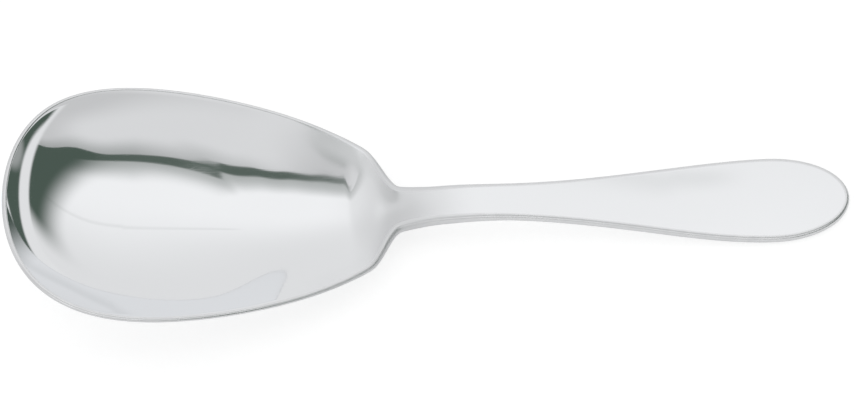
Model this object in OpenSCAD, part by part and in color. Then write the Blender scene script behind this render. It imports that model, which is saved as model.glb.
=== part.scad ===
// Rice serving spoon, pressed and polished from one piece of stainless steel.
// Lengths are in millimetres. The spoon lies on a table, open side up.
// X runs from the tip of the bowl to the end of the handle, Y is across, Z is up.
// Places along the spoon are measured from the tip of the bowl.

/* [Overall] */
// Length from the tip of the bowl to the end of the handle
spoon_l = 245; // [235:1:262]

/* [Bowl outline] */
// Length of the egg shape that the bowl's rim follows
bowl_l = 116.3; // [112:0.1:122]
// Width of the bowl at its widest place
bowl_w = 75.9; // [66:0.1:84]
// How strongly the egg's widest place moves toward the tip
egg_lean_share = 0.266; // [0.2:0.002:0.32]
// How full both ends of the egg are
egg_full_share = 0.175; // [0.1:0.005:0.25]
// How much the heel of the egg is drawn in
egg_heel_share = 0.055; // [0:0.005:0.1]

/* [Bowl depth] */
// Depth of the bowl below its rim
bowl_depth = 14.3; // [10:0.1:18]
// Length over which the bowl deepens from its tip
tip_fall_l = 43; // [38:1:55]
// Power that makes the wall at the tip steeper
tip_fall_power = 3.8; // [3:0.1:4.4]
// Place where the floor of the bowl starts to rise toward the handle
heel_rise_x = 60; // [50:1:70]
// Length over which that floor rises and dies out in the neck
heel_rise_l = 79; // [66:1:86]
// How round the middle of the bowl's section is; a lower share gives straighter sides
section_round_share = 0.33; // [0.3:0.01:1]
// Length from the tip over which the section takes that form
section_open_l = 110; // [80:1:125]
// Place where the section stops narrowing with the bowl and turns into the trough of the neck
trough_x = 98; // [94:0.5:104]
// Length of that turn
trough_l = 40; // [30:1:46]
// Half width that the trough's form is drawn to
trough_half_w = 10.5; // [8:0.1:12]
// Place where the bowl's floor starts to fill up toward the neck
fill_x = 98; // [94:0.5:102]
// Length over which it fills up
fill_l = 11; // [9:0.5:20]
// Share of the depth that is filled up
fill_share = 0.35; // [0:0.01:0.45]

/* [Neck and handle outline] */
// Place where the bowl's sides start to turn in to the neck
shoulder_x = 102.5; // [98:0.1:106]
// Length of that turn
shoulder_l = 12.4; // [9:0.1:16]
// Place where the neck is narrowest
waist_x = 126.5; // [118:0.5:132]
// Width of the neck at its narrowest place
waist_w = 11.9; // [9:0.1:16]
// Extra half width of the neck one flare length before the waist
flare_w = 3.5; // [2:0.1:7]
// Flare length, along the neck
flare_l = 20; // [16:0.5:26]
// Distance from the handle's widest place to its end
blade_back_l = 23; // [17:1:32]
// Width of the handle at its widest place
blade_w = 27.1; // [20:0.1:34]
// Power that holds back the widening of the handle
blade_power = 1.33; // [1:0.005:1.6]

/* [Side view] */
// Fall of the bowl's rim toward the handle, per unit of length
bowl_fall_share = 0.173; // [0.12:0.001:0.2]
// Rise of the neck out of the bowl, per unit of length
neck_rise_share = 0.115; // [0.08:0.001:0.2]
// Middle of the bend where the level rim of the tip turns down
tip_bend_x = 10; // [4:0.5:16]
// Length of that bend
tip_bend_l = 20; // [12:0.5:30]
// Middle of the bend between the bowl and the neck
heel_bend_x = 111.5; // [106:0.5:116]
// Length of that bend
heel_bend_l = 12; // [8:0.5:20]
// Middle of the bend over the crest of the neck
crest_bend_x = 134; // [126:0.5:142]
// Length of that bend
crest_bend_l = 38.5; // [24:0.5:50]
// Distance from the middle of the bend where the handle turns level to its end
end_bend_back_l = 32; // [29:0.5:44]
// Length of that bend
end_bend_l = 53; // [36:0.5:57]

/* [Sheet] */
// Thickness of the bowl
bowl_t = 1.6; // [1.4:0.1:2.4]
// Thickness of the handle
handle_t = 2.9; // [2.4:0.1:3.6]
// Extra thickness in the middle of the neck
neck_extra_t = 1; // [0:0.1:1.6]
// Place where the sheet starts to thicken toward the handle
thicken_x = 91; // [80:1:100]
// Length over which it thickens
thicken_l = 40; // [25:1:60]
// Place where the neck is thickest
swell_x = 121; // [114:1:130]
// How far the extra thickness reaches each way
swell_l = 32; // [20:1:45]
// Height of the crown on the upper face, at the widest part of the handle
crown_h = 0.3; // [0:0.05:0.6]
// How square the edges are, from 1 for round to nearly square
edge_square = 1.3; // [1:0.05:1.6]
// Depth of the two flats on which the spoon stands, under its bowl and its handle
foot_cut = 0.15; // [0.08:0.01:0.2]

/* [Hidden] */

// Stations along the bowl and along the neck and handle
bowl_steps = 46;
handle_steps = 40;
// Steps across each face, and round each edge
face_steps = 16;
edge_steps = 6;
// Steps used to find the widest place of the egg
egg_steps = 400;

// The middle of the sheet starts and ends half a thickness inside the spoon
tip_x = bowl_t / 2;
end_x = spoon_l - handle_t / 2;
blade_x = spoon_l - blade_back_l;
end_bend_x = spoon_l - end_bend_back_l;
egg_l = bowl_l - bowl_t;
egg_half_w = (bowl_w - bowl_t) / 2;
waist_half_w = (waist_w - handle_t - neck_extra_t) / 2;
blade_half_w = (blade_w - handle_t) / 2;
// Distance to the points that measure a slope
probe_share = 0.00025;
probe = spoon_l * probe_share;
// The neck's root, where the stations of the bowl end
root_x = shoulder_x + shoulder_l;
stations = bowl_steps + handle_steps;
ring = 2 * (face_steps + edge_steps);

// Smooth step from 0 to 1, with no jump in its slope or its curvature
function ease(t) =
    let (u = min(max(t, 0), 1))
    u * u * u * (u * (6 * u - 15) + 10);

// Smooth step from 0 to 1 for outlines, fuller at its start and end
function swell(t) =
    let (u = min(max(t, 0), 1))
    u * u * (3 - 2 * u);

// Height gained along a slope of 1 that starts smoothly, in a bend round a place
function bend_gain(x, bend_x, bend_l) =
    let (u = min(max((x - bend_x) / bend_l + 1 / 2, 0), 1))
    bend_l * u * u * u * (1 - u / 2) + max(x - bend_x - bend_l / 2, 0);

// Width of the egg as a share, for u from -1 at its tip to 1 at its heel
function egg_share(u) =
    sqrt(max(1 - u * u, 0)) * (1 - u * (egg_lean_share - u * (egg_full_share - u * egg_heel_share)));

egg_peak_share = max([for (i = [0 : egg_steps]) egg_share(2 * i / egg_steps - 1)]);

function bowl_half(x) =
    egg_half_w * egg_share(min(2 * (x - tip_x) / egg_l - 1, 1)) / egg_peak_share;

function handle_half(x) =
    let (widen = max((x - waist_x) / (blade_x - waist_x), 0),
         narrow = max((x - blade_x) / (end_x - blade_x), 0),
         flare = max((waist_x - x) / flare_l, 0))
    (waist_half_w + (blade_half_w - waist_half_w) * swell(pow(widen, blade_power)) + flare_w * flare * flare)
    * sqrt(max(1 - narrow * narrow, 0));

// Half width of the mid line at a place along the spoon
function half_w(x) =
    let (turn = ease((x - shoulder_x) / shoulder_l))
    bowl_half(x) * (1 - turn) + handle_half(x) * turn;

function sheet_t(x) =
    bowl_t
    + (handle_t - bowl_t) * ease((x - thicken_x) / thicken_l)
    + neck_extra_t * ease(1 - abs(x - swell_x) / swell_l);

// Height of the rim's mid line over the tip, if the handle ran on level from the crest
function level_rise(x) =
    - bowl_fall_share * bend_gain(x, tip_bend_x, tip_bend_l)
    + (bowl_fall_share + neck_rise_share) * bend_gain(x, heel_bend_x, heel_bend_l)
    - neck_rise_share * bend_gain(x, crest_bend_x, crest_bend_l);

// Length of sloping handle before a place
function handle_run(x) =
    bend_gain(x, crest_bend_x, crest_bend_l) - bend_gain(x, end_bend_x, end_bend_l);

// How far the middle of the sheet lies below its edges
function dish(x) =
    let (fill = 1 - min((x - tip_x) / tip_fall_l, 1))
    bowl_depth * (1 - pow(fill, tip_fall_power)) * (1 - ease((x - heel_rise_x) / heel_rise_l));

// Place of a station; they crowd at the tip, at the neck's root and at the end
function station_x(i) =
    i <= bowl_steps
    ? tip_x + (root_x - tip_x) * (1 - cos(180 * i / bowl_steps)) / 2
    : root_x + (end_x - root_x) * (1 - cos(180 * (i - bowl_steps) / handle_steps)) / 2;

// The handle falls just enough to bring its end down to the height of the bowl's floor
bowl_low = min([for (i = [0 : bowl_steps])
    let (x = station_x(i)) level_rise(x) - dish(x) - sheet_t(x) / 2]);
handle_fall_share = (level_rise(end_x) - handle_t / 2 - bowl_low) / handle_run(end_x);

function rim_z(x) = level_rise(x) - handle_fall_share * handle_run(x) - bowl_low - foot_cut;

// How much the upper face of the handle is crowned along its middle
function crown(x) =
    crown_h * pow(half_w(x) / blade_half_w, 2) * ease((x - waist_x) / (blade_x - waist_x));

// Height across the bowl's section, from 0 in its middle to 1 at both rims
function section_share(x, across) =
    let (opened = ease((x - tip_x) / section_open_l),
         round_square = section_round_share * section_round_share,
         bent = sqrt(across * across + round_square) - section_round_share,
         whole = sqrt(1 + round_square) - section_round_share)
    across * across * (1 - opened) + opened * bent / whole;

// Half width that the section's form is drawn to; the neck gets only the middle of a wider trough
function form_half_w(x) =
    let (turn = ease((x - trough_x) / trough_l))
    half_w(x) * (1 - turn) + trough_half_w * turn;

function mid_z(x, y) =
    let (form = form_half_w(x),
         open_share = 1 - fill_share * ease((x - fill_x) / fill_l))
    rim_z(x) - dish(x) * open_share * (section_share(x, half_w(x) / form) - section_share(x, y / form));

function unit(v) = v / norm(v);

// Upward normal of the middle of the sheet, measured a little inside both ends
function mid_normal(x, y) =
    let (here = min(max(x, tip_x + 2 * probe), end_x - 2 * probe),
         slope_x = (mid_z(here + probe, y) - mid_z(here - probe, y)) / (2 * probe),
         slope_y = (mid_z(here, y + probe) - mid_z(here, y - probe)) / (2 * probe))
    unit([-slope_x, -slope_y, 1]);

function rim_point(i) = let (x = station_x(i)) [x, half_w(x), rim_z(x)];

// Direction of the rim at a station, on the side of +Y
function rim_along(i) =
    i == 0 ? [0, 1, 0]
    : i == stations ? [0, -1, 0]
    : unit(rim_point(i + 1) - rim_point(i - 1));

// A power of a sine or cosine below 1 squares the round edge up
function squared(v) = sign(v) * pow(abs(v), 1 / edge_square);

// A point of the edge at a station, turned from the upper face to the lower one
function edge_point(i, turn) =
    let (x = station_x(i),
         mid = rim_point(i),
         up = mid_normal(x, mid[1]),
         out = unit(cross(up, rim_along(i))))
    mid + sheet_t(x) / 2 * (up * squared(cos(turn)) + out * squared(sin(turn)));

function mirrored(p) = [p[0], -p[1], p[2]];

// A point of the upper face (side 1) or lower face (side -1)
function face_point(i, across, side) =
    let (x = station_x(i),
         y = across * half_w(x),
         crowned = side > 0 ? crown(x) * (1 - across * across) : 0)
    [x, y, mid_z(x, y)] + (side * sheet_t(x) / 2 + crowned) * mid_normal(x, y);

// The closed ring of points round the sheet at a station
function ring_points(i) = [
    for (j = [0 : face_steps]) face_point(i, 2 * j / face_steps - 1, 1),
    for (j = [1 : edge_steps - 1]) edge_point(i, 180 * j / edge_steps),
    for (j = [0 : face_steps]) face_point(i, 1 - 2 * j / face_steps, -1),
    for (j = [edge_steps - 1 : -1 : 1]) mirrored(edge_point(i, 180 * j / edge_steps))
];

// At both ends the ring closes up to one line of points round the edge
function end_points(i) = [for (j = [0 : edge_steps]) edge_point(i, 180 * j / edge_steps)];

function end_index(j) =
    j <= face_steps ? 0
    : j < face_steps + edge_steps ? j - face_steps
    : j <= 2 * face_steps + edge_steps ? edge_steps
    : ring - j;

function point_index(i, j) =
    i == 0 ? end_index(j % ring)
    : i == stations ? edge_steps + 1 + (stations - 1) * ring + end_index(j % ring)
    : edge_steps + 1 + (i - 1) * ring + j % ring;

function has_area(face) = face[0] != face[1] && face[1] != face[2] && face[2] != face[0];

shell_points = [
    each end_points(0),
    for (i = [1 : stations - 1]) each ring_points(i),
    each end_points(stations)
];

shell_faces = [
    for (i = [0 : stations - 1], j = [0 : ring - 1])
        let (a = point_index(i, j),
             b = point_index(i, j + 1),
             c = point_index(i + 1, j + 1),
             d = point_index(i + 1, j))
        for (face = [[a, b, c], [a, c, d]]) if (has_area(face)) face
];

low_x = min([for (p = shell_points) p[0]]);
high_x = max([for (p = shell_points) p[0]]);

// The origin is under the middle of the spoon, on the table
module spoon() {
    color("gainsboro")
    difference() {
        translate([-(low_x + high_x) / 2, 0, 0])
        polyhedron(points = shell_points, faces = shell_faces, convexity = 4);

        translate([-spoon_l, -spoon_l, -spoon_l])
        cube([2 * spoon_l, 2 * spoon_l, spoon_l]);
    }
}

spoon();
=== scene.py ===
"""Looks of the rice serving spoon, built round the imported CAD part.

The spoon is one pressed and polished sheet of stainless steel. A Geometry Nodes tree draws that
sheet from the same sizes as the part, with a far denser mesh, and it stands for the CAD solid.
Lengths are in metres. X runs from the tip of the bowl to the end of the handle, Z is up.
"""

import logging
import math
from dataclasses import dataclass, field, fields
from enum import Enum
from types import SimpleNamespace
from typing import Any, Union

import bpy
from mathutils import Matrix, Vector


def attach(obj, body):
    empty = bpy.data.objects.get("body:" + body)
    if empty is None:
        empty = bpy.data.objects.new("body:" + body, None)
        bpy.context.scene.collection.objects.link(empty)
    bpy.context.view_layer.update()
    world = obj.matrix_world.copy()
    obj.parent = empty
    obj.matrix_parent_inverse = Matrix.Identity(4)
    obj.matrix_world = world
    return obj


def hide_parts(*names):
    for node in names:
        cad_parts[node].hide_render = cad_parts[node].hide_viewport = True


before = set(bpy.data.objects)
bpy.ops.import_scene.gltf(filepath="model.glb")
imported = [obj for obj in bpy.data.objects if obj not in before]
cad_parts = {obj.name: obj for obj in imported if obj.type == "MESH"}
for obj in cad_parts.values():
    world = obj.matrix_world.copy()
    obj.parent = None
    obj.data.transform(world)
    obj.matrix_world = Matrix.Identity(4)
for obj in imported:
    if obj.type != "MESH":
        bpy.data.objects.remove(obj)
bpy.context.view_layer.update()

MM = 0.001
PHOTO_WIDTH = 854
PHOTO_HEIGHT = 410
DEGREE = 180.0 / math.pi
# Share of the light that clean steel mirrors
STEEL_LIGHT = 0.84
# Takes the half width at the very end of the handle down to exactly 0, which closes the shell
ROUNDING = 0.00001
# Attribute of the mesh: distance from the rim in metres, negative on the edge
RIM_GAP = "rim_gap"
WHITE = (1.0, 1.0, 1.0, 1.0)
BLACK = (0.0, 0.0, 0.0, 1.0)

Span = tuple[float, float]
Colour = tuple[float, float, float]

log = logging.getLogger("spoon")


# Numbers and fields


@dataclass(frozen=True)
class Field:
    """A number that changes over a surface, held as the output socket of a node."""

    tree: bpy.types.NodeTree
    socket: bpy.types.NodeSocket

    def __add__(self, other: "Value") -> "Field":
        """Sum of two values."""
        return calculate("ADD", self, other)

    def __radd__(self, other: "Value") -> "Field":
        """Sum of two values."""
        return calculate("ADD", other, self)

    def __sub__(self, other: "Value") -> "Field":
        """Difference of two values."""
        return calculate("SUBTRACT", self, other)

    def __rsub__(self, other: "Value") -> "Field":
        """Difference of two values."""
        return calculate("SUBTRACT", other, self)

    def __mul__(self, other: "Value") -> "Field":
        """Product of two values."""
        return calculate("MULTIPLY", self, other)

    def __rmul__(self, other: "Value") -> "Field":
        """Product of two values."""
        return calculate("MULTIPLY", other, self)

    def __truediv__(self, other: "Value") -> "Field":
        """Quotient of two values."""
        return calculate("DIVIDE", self, other)

    def __rtruediv__(self, other: "Value") -> "Field":
        """Quotient of two values."""
        return calculate("DIVIDE", other, self)

    def __neg__(self) -> "Field":
        """The value with its sign turned."""
        return calculate("MULTIPLY", self, -1.0)


Value = Union[Field, float]


def plug(tree: bpy.types.NodeTree, socket: bpy.types.NodeSocket, value: Any) -> None:
    """Gives an input socket its value, as a link or as a constant.

    Args:
        tree: Tree that holds the socket.
        socket: Input socket.
        value: A field, an output socket, or a plain value.
    """
    if isinstance(value, Field):
        tree.links.new(value.socket, socket)
    elif isinstance(value, bpy.types.NodeSocket):
        tree.links.new(value, socket)
    else:
        socket.default_value = value


def calculate(operation: str, *values: Value) -> Value:
    """Joins values with one Math node.

    Args:
        operation: Name of the Math node's operation.
        values: One to three values, at least one of them a field.

    Returns:
        The field that the node gives.
    """
    tree = next(value.tree for value in values if isinstance(value, Field))
    node = tree.nodes.new("ShaderNodeMath")
    node.operation = operation
    for socket, value in zip(node.inputs, values):
        plug(tree, socket, value)
    return Field(tree, node.outputs[0])


def is_field(*values: Value) -> bool:
    """Whether any of the values is a field."""
    return any(isinstance(value, Field) for value in values)


def lower(a: Value, b: Value) -> Value:
    """The lower of two values."""
    return calculate("MINIMUM", a, b) if is_field(a, b) else min(a, b)


def higher(a: Value, b: Value) -> Value:
    """The higher of two values."""
    return calculate("MAXIMUM", a, b) if is_field(a, b) else max(a, b)


def clamped(value: Value, low: float = 0.0, high: float = 1.0) -> Value:
    """A value held between two limits."""
    return lower(higher(value, low), high)


def root(value: Value) -> Value:
    """Square root of a value."""
    return calculate("SQRT", value) if is_field(value) else math.sqrt(value)


def powered(value: Value, power: Value) -> Value:
    """A value raised to a power."""
    return calculate("POWER", value, power) if is_field(value, power) else value ** power


def absolute(value: Value) -> Value:
    """A value without its sign."""
    return calculate("ABSOLUTE", value) if is_field(value) else abs(value)


def squared(value: Field, square: Field) -> Field:
    """Sine or cosine with its sign, raised to a power below 1 that squares a round edge up."""
    return calculate("SIGN", value) * powered(absolute(value), 1.0 / square)


def ease(value: Value) -> Value:
    """Smooth step from 0 to 1, with no jump in its slope or its curvature."""
    share = clamped(value)
    return share * share * share * (share * (share * 6.0 - 15.0) + 10.0)


def swell(value: Value) -> Value:
    """Smooth step from 0 to 1 for outlines, fuller at its start and end."""
    share = clamped(value)
    return share * share * (3.0 - share * 2.0)


def smooth_between(value: Value, start: Value, end: Value) -> Value:
    """Smooth step of a value from 0 at one limit to 1 at the other."""
    return swell((value - start) / (end - start))


def bend_gain(x: Value, place: Value, length: Value) -> Value:
    """Height gained along a slope of 1 that starts smoothly, in a bend round a place."""
    share = clamped((x - place) / length + 0.5)
    return length * share * share * share * (1.0 - share * 0.5) + higher(x - place - length * 0.5, 0.0)


# The sheet's shape


@dataclass
class Sheet:
    """Sizes of the pressed sheet, the same as in the part's source, in millimetres."""

    spoon_l: float = 245.0
    bowl_l: float = 116.3
    bowl_w: float = 75.9
    egg_lean: float = 0.266
    egg_full: float = 0.175
    egg_heel: float = 0.055
    bowl_depth: float = 14.3
    tip_fall_l: float = 43.0
    tip_fall_power: float = 3.8
    heel_rise_x: float = 60.0
    heel_rise_l: float = 79.0
    section_round: float = 0.33
    section_open_l: float = 110.0
    trough_x: float = 98.0
    trough_l: float = 40.0
    trough_half_w: float = 10.5
    fill_x: float = 98.0
    fill_l: float = 11.0
    fill_share: float = 0.35
    shoulder_x: float = 102.5
    shoulder_l: float = 12.4
    waist_x: float = 126.5
    waist_w: float = 11.9
    flare_w: float = 3.5
    flare_l: float = 20.0
    blade_back_l: float = 23.0
    blade_w: float = 27.1
    blade_power: float = 1.33
    bowl_fall: float = 0.173
    neck_rise: float = 0.115
    tip_bend_x: float = 10.0
    tip_bend_l: float = 20.0
    heel_bend_x: float = 111.5
    heel_bend_l: float = 12.0
    crest_bend_x: float = 134.0
    crest_bend_l: float = 38.5
    end_bend_back_l: float = 32.0
    end_bend_l: float = 53.0
    bowl_t: float = 1.6
    handle_t: float = 2.9
    neck_extra_t: float = 1.0
    thicken_x: float = 91.0
    thicken_l: float = 40.0
    swell_x: float = 121.0
    swell_l: float = 32.0
    crown_h: float = 0.3
    edge_square: float = 1.3
    foot_cut: float = 0.15
    egg_peak: float = field(default=0.0, init=False)
    bowl_low: float = field(default=0.0, init=False)
    handle_fall: float = field(default=0.0, init=False)

    def __post_init__(self) -> None:
        """Works out the three values that the part's source works out too."""
        steps = 400
        self.egg_peak = max(Outline(self).egg_share(2 * step / steps - 1) for step in range(steps + 1))
        outline = Outline(self)
        reach = self.shoulder_x + self.shoulder_l - outline.tip_x
        places = [outline.tip_x + reach * step / steps for step in range(steps + 1)]
        self.bowl_low = min(
            outline.level_rise(x) - outline.dish(x) - outline.thickness(x) / 2 for x in places)
        end = outline.end_x
        self.handle_fall = (
            outline.level_rise(end) - self.handle_t / 2 - self.bowl_low) / outline.handle_run(end)


@dataclass
class Outline:
    """The sheet's curves along the spoon. They work on plain numbers and on fields alike."""

    sizes: Any

    @property
    def tip_x(self) -> Value:
        """Place where the middle of the sheet starts."""
        return self.sizes.bowl_t / 2

    @property
    def end_x(self) -> Value:
        """Place where the middle of the sheet ends."""
        return self.sizes.spoon_l - self.sizes.handle_t / 2

    @property
    def root_x(self) -> Value:
        """Place where the neck's root is, and the stations of the bowl end."""
        return self.sizes.shoulder_x + self.sizes.shoulder_l

    @property
    def blade_x(self) -> Value:
        """Place where the handle is widest."""
        return self.sizes.spoon_l - self.sizes.blade_back_l

    @property
    def blade_half(self) -> Value:
        """Half width of the handle's mid line where it is widest."""
        return (self.sizes.blade_w - self.sizes.handle_t) / 2

    def egg_share(self, u: Value) -> Value:
        """Width of the egg as a share, at a place along it from -1 at its tip to 1 at its heel."""
        lean, full, heel = self.sizes.egg_lean, self.sizes.egg_full, self.sizes.egg_heel
        return root(higher(1.0 - u * u, 0.0)) * (1.0 - u * (lean - u * (full - u * heel)))

    def bowl_half(self, x: Value) -> Value:
        """Works out the half width of the egg.

        Args:
            x: Place along the spoon.

        Returns:
            Half the width of the egg's mid line there.
        """
        size = self.sizes
        u = lower((x - self.tip_x) * 2.0 / (size.bowl_l - size.bowl_t) - 1.0, 1.0)
        return (size.bowl_w - size.bowl_t) / 2 * self.egg_share(u) / size.egg_peak

    def handle_half(self, x: Value) -> Value:
        """Works out the half width of the neck and handle.

        Args:
            x: Place along the spoon.

        Returns:
            Half the width of their mid line there.
        """
        size = self.sizes
        waist_half = (size.waist_w - size.handle_t - size.neck_extra_t) / 2
        widen = higher((x - size.waist_x) / (self.blade_x - size.waist_x), 0.0)
        narrow = higher((x - self.blade_x) / (self.end_x - self.blade_x), 0.0)
        flare = higher((size.waist_x - x) / size.flare_l, 0.0)
        blade = (self.blade_half - waist_half) * swell(powered(widen, size.blade_power))
        end_round = root(higher(1.0 - ROUNDING - narrow * narrow, 0.0))
        return (waist_half + blade + size.flare_w * flare * flare) * end_round

    def half_width(self, x: Value) -> Value:
        """Half width of the mid line at a place along the spoon."""
        turn = ease((x - self.sizes.shoulder_x) / self.sizes.shoulder_l)
        return self.bowl_half(x) * (1.0 - turn) + self.handle_half(x) * turn

    def thickness(self, x: Value) -> Value:
        """Works out the thickness of the sheet.

        Args:
            x: Place along the spoon.

        Returns:
            The thickness there.
        """
        size = self.sizes
        grown = (size.handle_t - size.bowl_t) * ease((x - size.thicken_x) / size.thicken_l)
        neck = size.neck_extra_t * ease(1.0 - absolute(x - size.swell_x) / size.swell_l)
        return size.bowl_t + grown + neck

    def level_rise(self, x: Value) -> Value:
        """Works out the height of the rim over the tip, if the handle ran on level from the crest.

        Args:
            x: Place along the spoon.

        Returns:
            The height there.
        """
        size = self.sizes
        tip = size.bowl_fall * bend_gain(x, size.tip_bend_x, size.tip_bend_l)
        heel = (size.bowl_fall + size.neck_rise) * bend_gain(x, size.heel_bend_x, size.heel_bend_l)
        return heel - tip - size.neck_rise * bend_gain(x, size.crest_bend_x, size.crest_bend_l)

    def handle_run(self, x: Value) -> Value:
        """Works out how much sloping handle lies before a place.

        Args:
            x: Place along the spoon.

        Returns:
            The length of the slope before it.
        """
        size = self.sizes
        sloping = bend_gain(x, size.crest_bend_x, size.crest_bend_l)
        return sloping - bend_gain(x, size.spoon_l - size.end_bend_back_l, size.end_bend_l)

    def rim_height(self, x: Value) -> Value:
        """Height of the rim's mid line over the table."""
        size = self.sizes
        return self.level_rise(x) - size.handle_fall * self.handle_run(x) - size.bowl_low - size.foot_cut

    def dish(self, x: Value) -> Value:
        """Works out how far the middle of the sheet lies below its edges.

        Args:
            x: Place along the spoon.

        Returns:
            The depth there, before the floor is filled up toward the neck.
        """
        size = self.sizes
        fill = 1.0 - clamped((x - self.tip_x) / size.tip_fall_l)
        rise = ease((x - size.heel_rise_x) / size.heel_rise_l)
        return size.bowl_depth * (1.0 - powered(fill, size.tip_fall_power)) * (1.0 - rise)

    def depth(self, x: Value) -> Value:
        """Depth of the section's form, with the bowl's floor filled up toward the neck."""
        size = self.sizes
        return self.dish(x) * (1.0 - size.fill_share * ease((x - size.fill_x) / size.fill_l))

    def form_half_width(self, x: Value) -> Value:
        """Half width that the section's form is drawn to, which is wider than the neck."""
        turn = ease((x - self.sizes.trough_x) / self.sizes.trough_l)
        return self.half_width(x) * (1.0 - turn) + self.sizes.trough_half_w * turn

    def opened(self, x: Value) -> Value:
        """How far the bowl's section has changed from a parabola to one with straighter sides."""
        return ease((x - self.tip_x) / self.sizes.section_open_l)

    def crown(self, x: Value) -> Value:
        """Works out how much the upper face of the handle is crowned.

        Args:
            x: Place along the spoon.

        Returns:
            Height of the crown along the middle.
        """
        size = self.sizes
        width = self.half_width(x) / self.blade_half
        return size.crown_h * width * width * ease((x - size.waist_x) / (self.blade_x - size.waist_x))


# Nodes


class SocketKind(Enum):
    """Kinds of sockets on the node groups."""

    NUMBER = "NodeSocketFloat"
    VECTOR = "NodeSocketVector"
    GEOMETRY = "NodeSocketGeometry"


@dataclass
class NodeMaker:
    """Short ways to add nodes to a tree."""

    tree: bpy.types.NodeTree

    def add(self, kind: str, settings: dict[str, Any] | None = None, **inputs: Any) -> bpy.types.Node:
        """Adds a node.

        Args:
            kind: The node's type name.
            settings: Properties of the node.
            inputs: Values of its inputs, with "_" for a space in their names.

        Returns:
            The node.
        """
        node = self.tree.nodes.new(kind)
        for name, value in (settings or {}).items():
            setattr(node, name, value)
        for name, value in inputs.items():
            plug(self.tree, node.inputs[name.replace("_", " ")], value)
        return node

    def socket(self, name: str, kind: SocketKind = SocketKind.NUMBER, out: bool = False) -> str:
        """Adds a socket to the tree's interface.

        Args:
            name: Name of the socket.
            kind: What it carries.
            out: Whether it is an output.

        Returns:
            The socket's identifier.
        """
        way = "OUTPUT" if out else "INPUT"
        item = self.tree.interface.new_socket(name=name, in_out=way, socket_type=kind.value)
        return item.identifier

    def as_field(self, socket: bpy.types.NodeSocket) -> Field:
        """An output socket of this tree as a field."""
        return Field(self.tree, socket)

    def given(self) -> dict[str, Field]:
        """The tree's inputs by name, as fields."""
        outputs = self.add("NodeGroupInput").outputs
        return {socket.name: self.as_field(socket) for socket in outputs if socket.name}

    def attribute(self, name: str) -> Field:
        """A value that is stored on the mesh, read in a material."""
        return self.as_field(self.add("ShaderNodeAttribute", {"attribute_name": name}).outputs["Fac"])

    def result(self, values: dict[str, Any]) -> None:
        """Sends values to the tree's outputs.

        Args:
            values: The values by the outputs' names.
        """
        node = self.add("NodeGroupOutput")
        for name, value in values.items():
            plug(self.tree, node.inputs[name], value)

    def group(self, tree: bpy.types.NodeTree, values: dict[str, Any]) -> dict[str, Field]:
        """Places a node group.

        Args:
            tree: The group's tree.
            values: Values of its inputs by name.

        Returns:
            Its outputs by name.
        """
        kinds = {"GEOMETRY": "GeometryNodeGroup", "SHADER": "ShaderNodeGroup"}
        node = self.add(kinds[tree.type], {"node_tree": tree})
        for name, value in values.items():
            plug(self.tree, node.inputs[name], value)
        return {socket.name: self.as_field(socket) for socket in node.outputs}

    def vector(self, x: Value, y: Value, z: Value) -> bpy.types.NodeSocket:
        """Three values joined to a vector."""
        return self.add("ShaderNodeCombineXYZ", X=x, Y=y, Z=z).outputs[0]

    def parts(self, vector: Any) -> tuple[Field, Field, Field]:
        """The three values of a vector."""
        outputs = self.add("ShaderNodeSeparateXYZ", Vector=vector).outputs
        return self.as_field(outputs[0]), self.as_field(outputs[1]), self.as_field(outputs[2])

    def vectors(self, operation: str, first: Any, second: Any = None) -> bpy.types.NodeSocket:
        """Joins vectors with one Vector Math node.

        Args:
            operation: Name of the node's operation.
            first: Its first vector.
            second: Its second vector, or the number of SCALE.

        Returns:
            The vector that the node gives.
        """
        node = self.add("ShaderNodeVectorMath", {"operation": operation})
        plug(self.tree, node.inputs[0], first)
        if second is not None:
            plug(self.tree, node.inputs["Scale" if operation == "SCALE" else 1], second)
        return node.outputs[0]

    def noise(self, vector: Any, scale: Value, detail: float = 2.0, rough: float = 0.5) -> Field:
        """A noise texture.

        Args:
            vector: Where it is read.
            scale: Its scale.
            detail: Number of its octaves.
            rough: Strength of each octave against the one before.

        Returns:
            Its value, from 0 to 1.
        """
        node = self.add("ShaderNodeTexNoise", Vector=vector, Scale=scale, Detail=detail, Roughness=rough)
        return self.as_field(node.outputs[0])

    def mixed(self, share: Value, first: Any, second: Any) -> bpy.types.NodeSocket:
        """A colour between two colours.

        Args:
            share: How much of the second one it holds.
            first: First colour.
            second: Second colour.

        Returns:
            The mixed colour.
        """
        node = self.add("ShaderNodeMix", {"data_type": "RGBA", "clamp_factor": True})
        # The colour mode of this node uses inputs 0, 6 and 7 and output 2
        for index, value in ((0, share), (6, first), (7, second)):
            plug(self.tree, node.inputs[index], value)
        return node.outputs[2]


def emptied(owner: bpy.types.Material | bpy.types.World) -> NodeMaker:
    """Empties the node tree of a material or a world.

    Args:
        owner: The material or the world.

    Returns:
        A maker for its tree.
    """
    owner.use_nodes = True
    owner.node_tree.nodes.clear()
    return NodeMaker(owner.node_tree)


def finish_group(name: str, *outputs: str) -> NodeMaker:
    """Starts a node group of a finish.

    Args:
        name: Name of the group.
        outputs: Names of its outputs.

    Returns:
        A maker for its tree, which has a vector as input.
    """
    maker = NodeMaker(bpy.data.node_groups.new(name, "ShaderNodeTree"))
    maker.socket("Vector", SocketKind.VECTOR)
    for output in outputs:
        maker.socket(output, out=True)
    return maker


# The sheet's mesh


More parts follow.
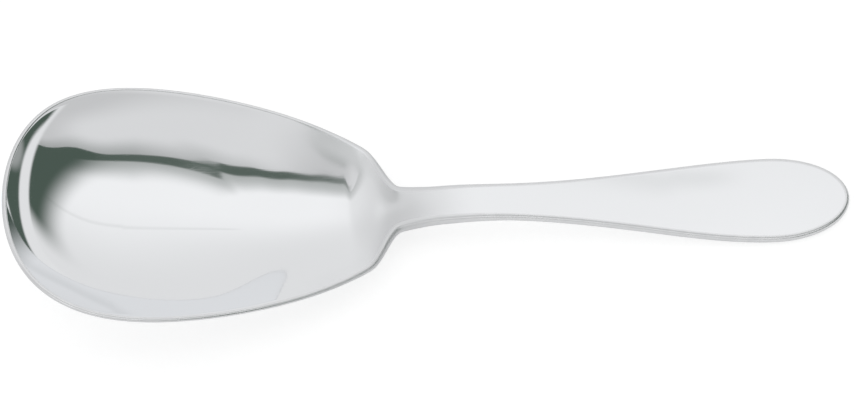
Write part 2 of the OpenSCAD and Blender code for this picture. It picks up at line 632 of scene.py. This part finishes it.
@dataclass
class SectionTree:
    """The node group that gives the sheet's section at a place along the spoon."""

    sizes: Sheet
    name: str = "spoon_section"

    def build(self) -> bpy.types.NodeTree:
        """Builds the group.

        Returns:
            A group with the place and the sizes as inputs, and the section's values as outputs.
        """
        maker = NodeMaker(bpy.data.node_groups.new(self.name, "GeometryNodeTree"))
        maker.socket("along")
        for size in fields(self.sizes):
            maker.socket(size.name)
        results = (
            "half_width", "form_half_width", "rim_height", "depth", "opened", "thickness", "crown")
        for name in results:
            maker.socket(name, out=True)
        given = maker.given()
        outline = Outline(SimpleNamespace(**{size.name: given[size.name] for size in fields(self.sizes)}))
        maker.result({name: getattr(outline, name)(given["along"]) for name in results})
        return maker.tree


@dataclass
class Bend:
    """The curve across a section: a parabola at the tip, a rounded V with straighter sides behind it."""

    round_share: Value
    section: dict[str, Field]

    @property
    def whole(self) -> Value:
        """Height of the rounded V before it is scaled to 1."""
        return root(self.round_share * self.round_share + 1.0) - self.round_share

    def share(self, y: Field) -> Field:
        """Works out the height of the form.

        Args:
            y: Place across the section in millimetres.

        Returns:
            The height as a share, from 0 in the middle to 1 where the form is fully wide.
        """
        across = y / self.section["form_half_width"]
        bent = root(across * across + self.round_share * self.round_share) - self.round_share
        opened = self.section["opened"]
        return across * across * (1.0 - opened) + opened * (bent / self.whole)

    def height(self, y: Field) -> Field:
        """Height of the middle of the sheet at a place across the section, in millimetres."""
        fall = self.share(self.section["half_width"]) - self.share(y)
        return self.section["rim_height"] - self.section["depth"] * fall

    def slope(self, y: Field) -> Field:
        """Works out the slope of that curve across the section.

        Args:
            y: Place across the section in millimetres.

        Returns:
            The slope.
        """
        across = y / self.section["form_half_width"]
        bent = 1.0 / (root(across * across + self.round_share * self.round_share) * self.whole)
        share = 2.0 * (1.0 - self.section["opened"]) + self.section["opened"] * bent
        return self.section["depth"] * across * share / self.section["form_half_width"]


@dataclass
class SheetTree:
    """The Geometry Nodes tree of the whole sheet: a grid bent into a closed shell.

    The grid runs along the spoon one way. The other way it runs across the upper face, round one
    edge, back across the lower face and round the other edge, and its two sides are merged.
    """

    sizes: Sheet
    section: bpy.types.NodeTree
    material: bpy.types.Material
    name: str = "spoon_sheet"
    bowl_steps: int = 220
    handle_steps: int = 190
    face_steps: int = 88
    edge_steps: int = 10
    probe: float = 0.06
    merge_gap: float = 0.0000004
    identifiers: dict[str, str] = field(default_factory=dict)

    def build(self) -> bpy.types.NodeTree:
        """Builds the tree.

        Returns:
            The tree, whose inputs are the sizes of the sheet.
        """
        maker = NodeMaker(bpy.data.node_groups.new(self.name, "GeometryNodeTree"))
        maker.socket("Geometry", SocketKind.GEOMETRY, out=True)
        for size in fields(self.sizes):
            self.identifiers[size.name] = maker.socket(size.name)
        given = maker.given()
        sizes = {size.name: given[size.name] for size in fields(self.sizes)}
        grid = maker.add(
            "GeometryNodeMeshGrid",
            Size_X=1.0,
            Size_Y=1.0,
            Vertices_X=self.bowl_steps + self.handle_steps + 1,
            Vertices_Y=2 * (self.face_steps + self.edge_steps) + 1,
        )
        grid_x, grid_y, _ = maker.parts(maker.add("GeometryNodeInputPosition").outputs[0])
        place = self.station(SimpleNamespace(**sizes), grid_x + 0.5)
        point, rim_gap = self.shell(maker, sizes, place, grid_y + 0.5)
        marked = maker.add(
            "GeometryNodeStoreNamedAttribute",
            {"data_type": "FLOAT", "domain": "POINT"},
            Geometry=grid.outputs["Mesh"],
            Name=RIM_GAP,
            Value=rim_gap,
        )
        shell = maker.add("GeometryNodeSetPosition", Geometry=marked.outputs[0], Position=point)
        merged = maker.add(
            "GeometryNodeMergeByDistance", Geometry=shell.outputs[0], Distance=self.merge_gap)
        smooth = maker.add("GeometryNodeSetShadeSmooth", Geometry=merged.outputs[0])
        real = maker.add("GeometryNodeRealizeInstances", Geometry=smooth.outputs[0])
        dressed = maker.add("GeometryNodeSetMaterial", Geometry=real.outputs[0], Material=self.material)
        maker.result({"Geometry": dressed.outputs[0]})
        return maker.tree

    def station(self, sizes: SimpleNamespace, along: Field) -> Field:
        """Place of a station. The stations crowd at the tip, at the neck's root and at the end.

        Args:
            sizes: The sheet's sizes as fields.
            along: Share of the grid's length, from 0 to 1.

        Returns:
            The place along the spoon in millimetres.
        """
        outline = Outline(sizes)
        split = self.bowl_steps / (self.bowl_steps + self.handle_steps)
        bowl, handle = (
            0.5 - calculate("COSINE", clamped(share) * math.pi) * 0.5
            for share in (along / split, (along - split) / (1.0 - split)))
        bowl_run = (outline.root_x - outline.tip_x) * bowl
        return outline.tip_x + bowl_run + (outline.end_x - outline.root_x) * handle

    def shell(
        self, maker: NodeMaker, sizes: dict[str, Field], place: Field, around: Field
    ) -> tuple[bpy.types.NodeSocket, Field]:
        """Places a point of the shell.

        Args:
            maker: Maker of the tree.
            sizes: The sheet's sizes by name.
            place: Place along the spoon in millimetres.
            around: Share of the way round the section, from 0 to 1.

        Returns:
            The point in metres, and its distance from the rim, which is negative on the edge.
        """
        outline = Outline(SimpleNamespace(**sizes))
        inner = lower(higher(place, outline.tip_x + 2 * self.probe), outline.end_x - 2 * self.probe)
        here, before, after = (
            maker.group(self.section, {"along": x, **sizes})
            for x in (place, inner - self.probe, inner + self.probe))

        half_ring = self.face_steps + self.edge_steps
        steps = around * float(2 * half_ring)
        back = calculate("GREATER_THAN", steps, half_ring - 0.5)
        side = 1.0 - back * 2.0
        step = steps - back * float(half_ring)
        across = side * (clamped(step / self.face_steps) * 2.0 - 1.0)
        turn = clamped((step - float(self.face_steps)) / self.edge_steps) * math.pi
        lift = side * squared(calculate("COSINE", turn), sizes["edge_square"])
        reach = squared(calculate("SINE", turn), sizes["edge_square"])

        y = across * here["half_width"]
        bend, bend_before, bend_after = (
            Bend(sizes["section_round"], part) for part in (here, before, after))
        slope_x = (bend_after.height(y) - bend_before.height(y)) / (2 * self.probe)
        slope_y = (bend_after.slope(y) + bend_before.slope(y)) * 0.5
        normal = maker.vectors("NORMALIZE", maker.vector(-slope_x, -slope_y, 1.0))

        squares = [part["half_width"] * part["half_width"] for part in (after, before)]
        widening = (squares[0] - squares[1]) / (2 * self.probe)
        plan = maker.vectors("NORMALIZE", maker.vector(y * 2.0, widening, 0.0))
        plan_x, plan_y, _ = maker.parts(plan)
        along_rim = maker.vector(plan_x, plan_y, slope_x * plan_x + slope_y * plan_y)
        outward = maker.vectors("NORMALIZE", maker.vectors("CROSS_PRODUCT", normal, along_rim))

        middle = maker.vector(place - sizes["spoon_l"] * 0.5, y, bend.height(y))
        upper = higher(side, 0.0) * here["crown"] * (1.0 - across * across)
        half_t = here["thickness"] * 0.5
        point = maker.vectors("ADD", middle, maker.vectors("SCALE", normal, half_t * lift + upper))
        point = maker.vectors("ADD", point, maker.vectors("SCALE", outward, half_t * reach))
        point_x, point_y, point_z = maker.parts(maker.vectors("SCALE", point, MM))
        rim_gap = ((1.0 - absolute(across)) * here["half_width"] - half_t * reach) * MM
        return maker.vector(point_x, point_y, higher(point_z, 0.0)), rim_gap


# The finish


@dataclass(frozen=True)
class PolishMarks:
    """Fine marks that polishing leaves along the spoon, with a few hairline scratches."""

    name: str = "polish_marks"
    line_scale: tuple[float, float, float] = (35.0, 2600.0, 1400.0)
    line_rough: float = 0.6
    line_span: Span = (0.45, 0.8)
    line_share: float = 0.5
    hair_along: Span = (90.0, 240.0)
    hair_across: Span = (-340.0, 900.0)
    hair_up: float = 400.0
    hair_span: Span = (0.68, 0.8)
    hair_share: float = 0.6

    def build(self) -> bpy.types.NodeTree:
        """Builds the group.

        Returns:
            A group with a vector as input and the strength of the marks as output.
        """
        maker = finish_group(self.name, "Marks")
        x, y, z = maker.parts(maker.given()["Vector"])
        stretched = maker.vector(x * self.line_scale[0], y * self.line_scale[1], z * self.line_scale[2])
        lines = smooth_between(maker.noise(stretched, 1.0, rough=self.line_rough), *self.line_span)
        slanted = maker.vector(
            x * self.hair_along[0] + y * self.hair_along[1],
            x * self.hair_across[0] + y * self.hair_across[1],
            z * self.hair_up,
        )
        hairs = smooth_between(maker.noise(slanted, 1.0, detail=1.0), *self.hair_span)
        maker.result({"Marks": clamped(lines * self.line_share + hairs * self.hair_share)})
        return maker.tree


@dataclass(frozen=True)
class RimWearAndShade:
    """The rim of the bowl and the handle's edges: worn and rougher there, with their colour darkened as
    painted shade.
    """

    name: str = "rim_wear_and_shade"
    patch_scale: float = 260.0
    patch_share: float = 0.6
    least_share: float = 0.55
    near: Span = (-0.5 * MM, 0.15 * MM)

    def build(self) -> bpy.types.NodeTree:
        """Builds the group.

        Returns:
            A group with a vector as input, and as output how strongly the rim is worn and darkened as
            painted shade.
        """
        maker = finish_group(self.name, "Wear")
        patches = maker.noise(maker.given()["Vector"], self.patch_scale)
        near = 1.0 - smooth_between(maker.attribute(RIM_GAP), *self.near)
        maker.result({"Wear": near * (self.least_share + patches * self.patch_share)})
        return maker.tree


@dataclass(frozen=True)
class HeelHazeAndShade:
    """The bowl's heel and the neck, where the polishing wheel hardly reaches: hazy and rougher there, and
    on the neck a painted shade that stands in for a darker reflection.
    """

    name: str = "heel_haze_and_shade"
    cloud_scale: float = 90.0
    cloud_detail: float = 3.0
    cloud_share: float = 0.3
    least_share: float = 0.85
    handle_fade: Span = (14 * MM, -8 * MM)
    neck_fade: Span = (-25 * MM, -9 * MM)
    rim_fade: Span = (-44 * MM, -28 * MM)
    rim_reach: Span = (9 * MM, 3 * MM)

    def build(self) -> bpy.types.NodeTree:
        """Builds the group.

        Returns:
            A group with a vector as input, and as outputs how hazy the steel is and the painted shade on
            the neck alone.
        """
        maker = finish_group(self.name, "Haze", "Neck")
        place = maker.given()["Vector"]
        x, _, _ = maker.parts(place)
        before_handle = smooth_between(x, *self.handle_fade)
        neck = smooth_between(x, *self.neck_fade) * before_handle
        near_rim = smooth_between(maker.attribute(RIM_GAP), *self.rim_reach)
        along_rim = smooth_between(x, *self.rim_fade) * near_rim * before_handle
        clouds = maker.noise(place, self.cloud_scale, self.cloud_detail)
        strength = clouds * self.cloud_share + self.least_share
        maker.result({"Haze": higher(neck, along_rim) * strength, "Neck": neck * strength})
        return maker.tree


@dataclass(frozen=True)
class SteelFinish:
    """Polished stainless steel: bright, nearly a mirror, with fine marks of polishing and use, and
    painted shade on the neck and along the rims.
    """

    name: str = "polished_steel"
    colour: Colour = (0.83, 0.84, 0.855)
    # Darker colour painted along the rims and edges as shade, not a colour of the steel
    rim_painted_shade: Colour = (0.7, 0.705, 0.715)
    roughness: float = 0.02
    cloud_scale: float = 24.0
    cloud_detail: float = 3.0
    cloud_rough: float = 0.55
    cloud_span: Span = (0.35, 0.7)
    cloud_tone: float = 0.965
    cloud_share: float = 0.25
    cloud_roughness: float = 0.02
    mark_roughness: float = 0.03
    mark_depth: float = 0.0000015
    mark_strength: float = 0.35
    rim_roughness: float = 0.3
    heel_roughness: float = 0.2
    # Painted shade: how much the neck's colour is darkened to stand in for a darker reflection
    neck_painted_shade: float = 0.22
    marks: PolishMarks = PolishMarks()
    wear: RimWearAndShade = RimWearAndShade()
    haze: HeelHazeAndShade = HeelHazeAndShade()

    def build(self) -> bpy.types.Material:
        """Builds the material.

        Returns:
            The material.
        """
        material = bpy.data.materials.new(self.name)
        maker = emptied(material)
        place = maker.add("ShaderNodeTexCoord").outputs["Object"]
        marks = maker.group(self.marks.build(), {"Vector": place})
        rim = maker.group(self.wear.build(), {"Vector": place})
        heel = maker.group(self.haze.build(), {"Vector": place})
        clouds = maker.noise(place, self.cloud_scale, self.cloud_detail, self.cloud_rough)
        cloud = smooth_between(clouds, *self.cloud_span)

        clouded = tuple(part * self.cloud_tone for part in self.colour)
        tone = maker.mixed(cloud * self.cloud_share, (*self.colour, 1.0), (*clouded, 1.0))
        # Painted shade: darker colour on the neck, in place of a darker reflection
        tone = maker.mixed(heel["Neck"] * self.neck_painted_shade, tone, BLACK)
        # Painted shade: the rims and edges are darkened in colour, while the roughness below adds the
        # real wear
        colour = maker.mixed(rim["Wear"], tone, (*self.rim_painted_shade, 1.0))
        roughness = (
            self.roughness
            + cloud * self.cloud_roughness
            + marks["Marks"] * self.mark_roughness
            + rim["Wear"] * self.rim_roughness
            + heel["Haze"] * self.heel_roughness
        )
        bump = maker.add(
            "ShaderNodeBump",
            Height=marks["Marks"],
            Strength=self.mark_strength,
            Distance=self.mark_depth,
        )
        shader = maker.add(
            "ShaderNodeBsdfPrincipled",
            Base_Color=colour,
            Metallic=1.0,
            Roughness=roughness,
            Normal=bump.outputs[0],
        )
        maker.add("ShaderNodeOutputMaterial", Surface=shader.outputs[0])
        return material


# The spoon


def placed(name: str, data: bpy.types.ID) -> bpy.types.Object:
    """Places an object in the scene.

    Args:
        name: Name of the object.
        data: Its mesh or its camera.

    Returns:
        The object.
    """
    item = bpy.data.objects.new(name, data)
    bpy.context.scene.collection.objects.link(item)
    return item


@dataclass
class Spoon:
    """The rice serving spoon: one sheet, from the tip of the bowl to the end of the handle."""

    sizes: Sheet = field(default_factory=Sheet)
    finish: SteelFinish = SteelFinish()
    name: str = "polished_sheet"

    def build(self) -> bpy.types.Object:
        """Builds the spoon's mesh and dresses it.

        Returns:
            The finished piece, which stands for the CAD node.
        """
        material = self.finish.build()
        sheet = SheetTree(self.sizes, SectionTree(self.sizes).build(), material)
        tree = sheet.build()
        carrier = placed("carrier", bpy.data.meshes.new("carrier"))
        modifier = carrier.modifiers.new("sheet", "NODES")
        modifier.node_group = tree
        for size in fields(self.sizes):
            modifier[sheet.identifiers[size.name]] = float(getattr(self.sizes, size.name))
        graph = bpy.context.evaluated_depsgraph_get()
        mesh = bpy.data.meshes.new_from_object(
            carrier.evaluated_get(graph), preserve_all_data_layers=True, depsgraph=graph)
        carrier.modifiers.remove(modifier)
        bpy.data.objects.remove(carrier)
        mesh.materials.clear()
        mesh.materials.append(material)
        mesh.polygons.foreach_set("material_index", [0] * len(mesh.polygons))
        piece = placed(self.name, mesh)
        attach(piece, "root")
        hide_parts("spoon")
        return piece


# The studio


def steel_tone(*levels: float) -> tuple[float, ...]:
    """Light that a clean steel mirror shows in a display colour.

    Args:
        levels: Red, green and blue of the display colour, from 0 to 255.

    Returns:
        The light before the mirror, as a linear colour.
    """
    # From display values to linear light
    shares = [level / 255 for level in levels]
    linear = [share / 12.92 if share < 0.04 else ((share + 0.055) / 1.055) ** 2.4 for share in shares]
    return (*(part / STEEL_LIGHT for part in linear), 1.0)


def grey_tone(level: float) -> tuple[float, ...]:
    """Light that a clean steel mirror shows as a grey of a level from 0 to 255."""
    return steel_tone(level, level, level)


@dataclass(frozen=True)
class Direction:
    """A direction that a ray leaves in, with the maker of the tree that works it out.

    The vector has a length of 1. Rise and swing are in degrees.
    """

    maker: NodeMaker
    vector: bpy.types.NodeSocket
    rise: Field
    swing: Field


@dataclass(frozen=True)
class Ring:
    """A ring of directions round an axis, where the tent's light changes."""

    axis: tuple[float, float, float]
    start: float
    end: float

    def outside(self, way: Direction) -> Field:
        """How far a direction lies outside the ring.

        Args:
            way: The direction.

        Returns:
            A share that grows from 0 to 1 between the ring's two angles.
        """
        node = way.maker.add("ShaderNodeVectorMath", {"operation": "DOT_PRODUCT"})
        plug(way.maker.tree, node.inputs[0], way.vector)
        plug(way.maker.tree, node.inputs[1], tuple(Vector(self.axis).normalized()))
        angle = calculate("ARCCOSINE", way.maker.as_field(node.outputs["Value"])) * DEGREE
        return smooth_between(angle, self.start, self.end)


@dataclass(frozen=True)
class Band:
    """A band of angles with soft borders."""

    start: float
    full_from: float
    full_to: float
    end: float

    def inside(self, angle: Field) -> Field:
        """How far an angle lies inside the band, from 0 to 1."""
        entered = smooth_between(angle, self.start, self.full_from)
        return entered * smooth_between(angle, self.end, self.full_to)


@dataclass(frozen=True)
class SwingCurve:
    """A value for every swing, as a start and some smooth steps.

    Each step has its height, and the swings where it starts and ends.
    """

    start: float
    steps: tuple[tuple[float, float, float], ...]

    def at(self, swing: Field) -> Field:
        """Works out the value at a swing.

        Args:
            swing: The swing in degrees.

        Returns:
            The value.
        """
        value: Value = self.start
        for height, start, end in self.steps:
            value = value + smooth_between(swing, start, end) * height
        return value


@dataclass(frozen=True)
class Tent:
    """The light tent round the spoon, with the tones that the polished steel mirrors.

    Directions are given by two angles. Rise turns from the back horizon (0) over the top (90) to
    the front horizon (180). Swing turns from the middle plane toward the handle's end (+90) or the
    bowl's tip (-90). A dark slit runs across between the back panel and the front panel, and the
    curves of its top and its foot give its rise for every swing.
    """

    # Tones that the steel shows, from 0 to 255
    front: float = 196.0
    front_glow: float = 215.0
    panel_low: float = 221.0
    panel_high: float = 240.0
    side: float = 215.0
    edge: float = 250.0
    crescent: float = 224.0
    dark: Colour = (74.0, 87.0, 79.0)

    # The glow on the front panel, and the panel behind the slit
    glow_rise: Band = Band(106.0, 116.0, 122.0, 132.0)
    glow_swing: Band = Band(-14.0, -2.0, 30.0, 58.0)
    panel_rise: Span = (8.0, 85.0)
    panel_border: Span = (0.6, 0.0)

    # The slit
    slit_top: SwingCurve = SwingCurve(
        108.0,
        ((2.0, 9.5, 7.7), (3.3, 12.1, 0.8), (-12.4, -5.1, -27.6), (3.6, 19.0, 40.0), (-3.2, 42.0, 62.0)))
    slit_foot: SwingCurve = SwingCurve(
        104.9, ((2.7, 10.5, 8.9), (3.4, 11.7, 0.1), (-13.3, -6.2, -30.7)))
    slit_top_border: Span = (0.3, -0.3)
    slit_foot_border: Span = (-0.5, 0.4)
    slit_share: SwingCurve = SwingCurve(0.9, ((-0.2, -4.0, -18.0), (0.1, 22.0, 34.0)))

    # The soft shade below and above the slit
    soft_foot: SwingCurve = SwingCurve(
        104.9, ((2.7, 11.5, 8.5), (3.4, 11.7, 0.1), (-13.3, -6.2, -30.7)))
    below_reach: SwingCurve = SwingCurve(8.0, ((5.0, 11.0, 15.0),))
    below_share: float = 0.55
    below_border: Span = (0.3, 0.0)
    above_reach: SwingCurve = SwingCurve(4.0, ((5.0, 4.0, 14.0),))
    above_share: SwingCurve = SwingCurve(0.2, ((0.18, 9.0, 14.0),))
    above_swing: Span = (-8.0, 4.0)
    above_border: Span = (-0.3, 0.0)

    # The dark frame round the back panel
    frame_ring: Ring = Ring((-0.014, 0.547, 0.837), 41.5, 61.0)
    frame_swing: Span = (4.0, 38.0)
    frame_rise: Span = (10.0, 32.0)

    # The faint stripe that the handle mirrors
    stripe: SwingCurve = SwingCurve(57.2, ((0.8, 15.9, 16.6),))
    stripe_band: Band = Band(-1.8, 0.5, 0.5, 3.6)
    stripe_swing: Span = (11.0, 14.8)
    stripe_share: float = 0.1

    # The side toward the bowl's tip
    side_swing: Span = (-15.0, -34.0)
    side_behind: float = 0.5

    # The light and dark cards over the handle's end
    handle_swing: Span = (8.0, 24.0)
    inner_ring: Ring = Ring((-0.02, 0.312, 0.95), 70.2, 72.2)
    outer_ring: Ring = Ring((0.167, 0.409, 0.897), 65.6, 67.6)
    last_ring: Ring = Ring((-0.02, 0.312, 0.95), 71.8, 73.6)
    glint_swing: Span = (74.5, 79.5)
    glint_share: float = 0.5

    # The card that the rim mirrors
    edge_rise: Band = Band(134.0, 140.0, 156.0, 162.0)
    edge_swing: Band = Band(-52.0, -40.0, 40.0, 52.0)

    def build(self, maker: NodeMaker, vector: bpy.types.NodeSocket) -> bpy.types.NodeSocket:
        """Adds the tent's light to a tree.

        Args:
            maker: Maker of the tree.
            vector: The direction that a ray leaves in, of length 1.

        Returns:
            The light from that direction.
        """
        x, y, z = maker.parts(vector)
        rise = calculate("ARCTAN2", z, y) * DEGREE
        way = Direction(maker, vector, rise, calculate("ARCSINE", x) * DEGREE)
        over_top = way.rise - self.slit_top.at(way.swing)
        over_foot = way.rise - self.slit_foot.at(way.swing)
        behind = smooth_between(over_foot, *self.panel_border)
        light = self.panels(way, behind)
        light = self.slit(way, over_top, over_foot, light)
        light = self.stripe_and_side(way, behind, light)
        return self.handle_cards(way, light)

    def panels(self, way: Direction, behind: Field) -> bpy.types.NodeSocket:
        """Lights the front panel, with its glow, and the panel behind the slit.

        Args:
            way: The direction.
            behind: How far the direction lies behind the slit.

        Returns:
            The light.
        """
        glow = self.glow_rise.inside(way.rise) * self.glow_swing.inside(way.swing)
        front = way.maker.mixed(glow, grey_tone(self.front), grey_tone(self.front_glow))
        lifted = smooth_between(way.rise, *self.panel_rise)
        panel = way.maker.mixed(lifted, grey_tone(self.panel_low), grey_tone(self.panel_high))
        return way.maker.mixed(behind, front, panel)

    def slit(
        self, way: Direction, over_top: Field, over_foot: Field, light: bpy.types.NodeSocket
    ) -> bpy.types.NodeSocket:
        """Darkens the slit, the soft shade on both sides of it and the frame round the back panel.

        Args:
            way: The direction.
            over_top: Degrees above the slit's top.
            over_foot: Degrees above the slit's foot.
            light: The light so far.

        Returns:
            The light with the slit.
        """
        dark = steel_tone(*self.dark)
        over_soft = way.rise - self.soft_foot.at(way.swing)
        below = smooth_between(over_soft, -self.below_reach.at(way.swing), 0.0)
        above = smooth_between(over_top, self.above_reach.at(way.swing), 0.0)
        above_share = self.above_share.at(way.swing) * smooth_between(way.swing, *self.above_swing)
        shade = (
            below * self.below_share * smooth_between(over_top, *self.below_border)
            + above * above_share * smooth_between(over_top, *self.above_border)
        )
        light = way.maker.mixed(shade, light, dark)
        under_top = smooth_between(over_top, *self.slit_top_border)
        framed = (
            self.frame_ring.outside(way)
            * smooth_between(way.swing, *self.frame_swing)
            * smooth_between(way.rise, *self.frame_rise)
            * under_top
        )
        light = way.maker.mixed(framed, light, dark)
        slit = under_top * smooth_between(over_foot, *self.slit_foot_border)
        return way.maker.mixed(slit * self.slit_share.at(way.swing), light, dark)

    def stripe_and_side(
        self, way: Direction, behind: Field, light: bpy.types.NodeSocket
    ) -> bpy.types.NodeSocket:
        """Adds the faint stripe that the handle mirrors and the side toward the bowl's tip.

        Args:
            way: The direction.
            behind: How far the direction lies behind the slit.
            light: The light so far.

        Returns:
            The light with both.
        """
        stripe = self.stripe_band.inside(way.rise - self.stripe.at(way.swing))
        stripe = stripe * smooth_between(way.swing, *self.stripe_swing) * self.stripe_share
        light = way.maker.mixed(stripe, light, steel_tone(*self.dark))
        sideways = smooth_between(way.swing, *self.side_swing) * (1.0 - behind * self.side_behind)
        return way.maker.mixed(sideways, light, grey_tone(self.side))

    def handle_cards(self, way: Direction, light: bpy.types.NodeSocket) -> bpy.types.NodeSocket:
        """Adds the light and dark cards over the handle's end, and the card that the rim mirrors.

        Args:
            way: The direction.
            light: The light so far.

        Returns:
            The light with the cards.
        """
        handle_side = smooth_between(way.swing, *self.handle_swing)
        crescent = self.inner_ring.outside(way) * handle_side
        light = way.maker.mixed(crescent, light, grey_tone(self.crescent))
        outside = self.outer_ring.outside(way) * self.last_ring.outside(way) * handle_side
        light = way.maker.mixed(outside, light, steel_tone(*self.dark))
        glint = outside * smooth_between(way.swing, *self.glint_swing) * self.glint_share
        light = way.maker.mixed(glint, light, grey_tone(self.front))
        edge = self.edge_rise.inside(way.rise) * self.edge_swing.inside(way.swing)
        return way.maker.mixed(edge, light, grey_tone(self.edge))


@dataclass
class Studio:
    """The light tent, the floor and the camera, placed as for the photograph."""

    tent: Tent = Tent()
    floor_half: float = 1.6
    floor_tone: float = 0.5
    floor_glow: float = 0.66
    floor_mirrored: float = 0.5
    mirrored_near: Span = (0.13, 0.2)
    camera_far: float = 1.0
    camera_rise: float = 62.0
    camera_swing: float = -3.45
    aim_h: float = 0.01
    sensor_w: float = 36.0
    lens: float = 145.5567
    lens_axis: Span = (431.47, 204.74)

    def build_world(self) -> None:
        """Builds the tent as the world's shader. The camera sees plain white behind the floor."""
        world = bpy.data.worlds.new("tent")
        bpy.context.scene.world = world
        maker = emptied(world)
        direction = maker.vectors("NORMALIZE", maker.add("ShaderNodeTexCoord").outputs["Generated"])
        light = self.tent.build(maker, direction)
        seen = maker.as_field(maker.add("ShaderNodeLightPath").outputs["Is Camera Ray"])
        shown = maker.mixed(seen, light, WHITE)
        background = maker.add("ShaderNodeBackground", Color=shown, Strength=1.0)
        maker.add("ShaderNodeOutputWorld", Surface=background.outputs[0])

    def build_paper(self) -> bpy.types.Material:
        """Builds the floor's material. Past its near part it lets the steel mirror the tent alone.

        Returns:
            The material.
        """
        material = bpy.data.materials.new("floor_paper")
        maker = emptied(material)
        paths = maker.add("ShaderNodeLightPath").outputs
        seen = maker.as_field(paths["Is Camera Ray"])
        mirrored = maker.as_field(paths["Is Glossy Ray"])
        strength = seen * self.floor_glow + mirrored * self.floor_mirrored
        paper = maker.add("ShaderNodeBsdfDiffuse", Color=(*[self.floor_tone] * 3, 1.0))
        glow = maker.add("ShaderNodeEmission", Color=WHITE, Strength=strength)
        both = maker.add("ShaderNodeAddShader")
        plug(maker.tree, both.inputs[0], paper.outputs[0])
        plug(maker.tree, both.inputs[1], glow.outputs[0])
        x, y, _ = maker.parts(maker.add("ShaderNodeTexCoord").outputs["Object"])
        far = smooth_between(root(x * x + y * y), *self.mirrored_near)
        ending = maker.add("ShaderNodeMixShader", Fac=mirrored * far)
        plug(maker.tree, ending.inputs[1], both.outputs[0])
        plug(maker.tree, ending.inputs[2], maker.add("ShaderNodeBsdfTransparent").outputs[0])
        maker.add("ShaderNodeOutputMaterial", Surface=ending.outputs[0])
        return material

    def build_floor(self) -> bpy.types.Object:
        """Builds the pale floor.

        Returns:
            The floor.
        """
        half = self.floor_half
        corners = [(-half, -half, 0.0), (half, -half, 0.0), (half, half, 0.0), (-half, half, 0.0)]
        mesh = bpy.data.meshes.new("floor")
        mesh.from_pydata(corners, [], [(0, 1, 2, 3)])
        mesh.materials.append(self.build_paper())
        floor = placed("floor", mesh)
        return floor

    def build_camera(self) -> bpy.types.Object:
        """Builds the camera at the photograph's angle.

        Returns:
            The camera.
        """
        rise = math.radians(self.camera_rise)
        swing = math.radians(self.camera_swing)
        level = math.cos(rise)
        away = Vector((math.sin(swing) * level, -math.cos(swing) * level, math.sin(rise)))
        data = bpy.data.cameras.new("camera")
        data.sensor_width = self.sensor_w
        data.lens = self.lens
        data.shift_x = (PHOTO_WIDTH / 2 - self.lens_axis[0]) / PHOTO_WIDTH
        data.shift_y = (self.lens_axis[1] - PHOTO_HEIGHT / 2) / PHOTO_WIDTH
        camera = placed("camera", data)
        camera.location = Vector((0.0, 0.0, self.aim_h)) + away * self.camera_far
        camera.rotation_euler = (-away).to_track_quat("-Z", "Y").to_euler()
        bpy.context.scene.camera = camera
        return camera


def main() -> None:
    """Builds the studio and the spoon."""
    logging.basicConfig(level=logging.INFO, format="%(name)s: %(message)s")
    scene = bpy.context.scene
    scene.view_settings.view_transform = "Standard"
    studio = Studio()
    studio.build_camera()
    log.info("camera built")
    spoon = Spoon().build()
    log.info("%s built with %d faces", spoon.name, len(spoon.data.polygons))
    studio.build_world()
    log.info("tent built")
    floor = studio.build_floor()
    log.info("%s built", floor.name)


if __name__ == "__main__":
    main()
